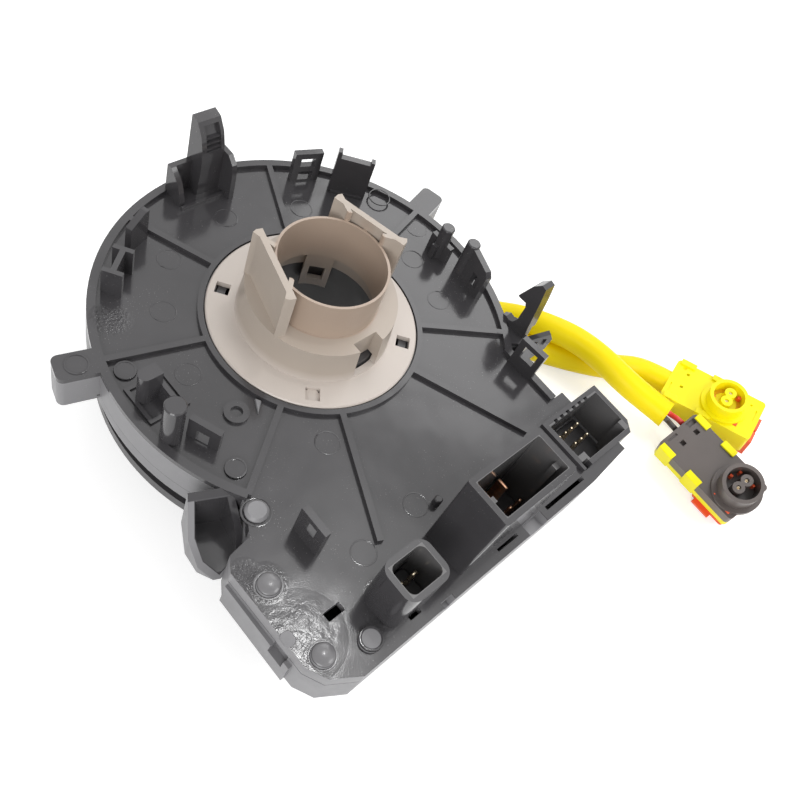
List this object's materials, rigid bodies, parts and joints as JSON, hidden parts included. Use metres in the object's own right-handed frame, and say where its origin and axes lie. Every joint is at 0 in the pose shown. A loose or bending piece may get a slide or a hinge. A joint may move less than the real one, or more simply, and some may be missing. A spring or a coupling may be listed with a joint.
{
  "type": "steering clock spring",
  "caption": "Round two-part housing with a wound flat cable inside, a turning cam sleeve, a row of sockets on one side and two airbag leads with plugs.",
  "frame": {"origin": "on the steering axis, level with the top of the cover's rim", "axes": "+Z along the steering axis towards the column side, +X along the row of sockets, +Y from the sockets towards the steering axis"},
  "size_m": [0.1768, 0.1588, 0.058],
  "materials": {
    "cover_black": "glossy moulded",
    "case_black": "satin moulded",
    "rotor_black": "satin moulded",
    "hub_cream": "satin moulded acetal",
    "terminal_tin": "tinned",
    "lead_copper": "stamped",
    "ribbon_film": "laminated film",
    "guide_white": "moulded",
    "slip_film": "satin film",
    "lead_yellow": "soft sheath",
    "wire_red": "insulated core",
    "wire_black": "insulated core",
    "plug_black": "moulded",
    "plug_yellow": "moulded",
    "lock_orange": "moulded",
    "contact_brass": "plated"
  },
  "bodies": {
    "stator": {"stator_cover": "cover_black", "stator_case": "case_black", "terminal_carrier": "case_black", "two_pin_terminals": "terminal_tin", "main_terminals": "terminal_tin", "twelve_pin_terminals": "terminal_tin", "ribbon_cable": "ribbon_film", "ribbon_outer_block": "guide_white", "upper_slip_sheet": "slip_film"},
    "rotor": {"ribbon_inner_block": "guide_white", "lower_slip_sheet": "slip_film", "rotor_disc": "rotor_black", "hub_sleeve": "hub_cream", "lead_frame": "lead_copper", "cable_cover": "rotor_black", "switch_terminals": "terminal_tin", "cable_one": "lead_yellow", "cable_two": "lead_yellow", "red_wire": "wire_red", "black_wire": "wire_black", "black_plug_housing": "plug_black", "black_plug_cover": "plug_yellow", "black_plug_contacts": "contact_brass", "yellow_plug_housing": "plug_yellow", "yellow_plug_cover": "plug_yellow", "yellow_plug_contacts": "contact_brass"},
    "black_lock": {"black_plug_lock": "lock_orange"},
    "yellow_lock": {"yellow_plug_lock": "lock_orange"}
  },
  "joints": [
    {"name": "rotor_spin", "type": "hinge", "parent": "stator", "child": "rotor", "pos_m": [0, 0, 0], "axis": [0, 0, 1], "range_deg": [-900, 900], "deforming": ["ribbon_cable"]},
    {"name": "black_lock_slide", "type": "slide", "parent": "rotor", "child": "black_lock", "axis": [-0.3998, 0.074, 0.9136], "range_m": [0, 0.0018]},
    {"name": "yellow_lock_slide", "type": "slide", "parent": "rotor", "child": "yellow_lock", "axis": [-0.22, 0.137, 0.9658], "range_m": [0, 0.0018]}
  ]
}
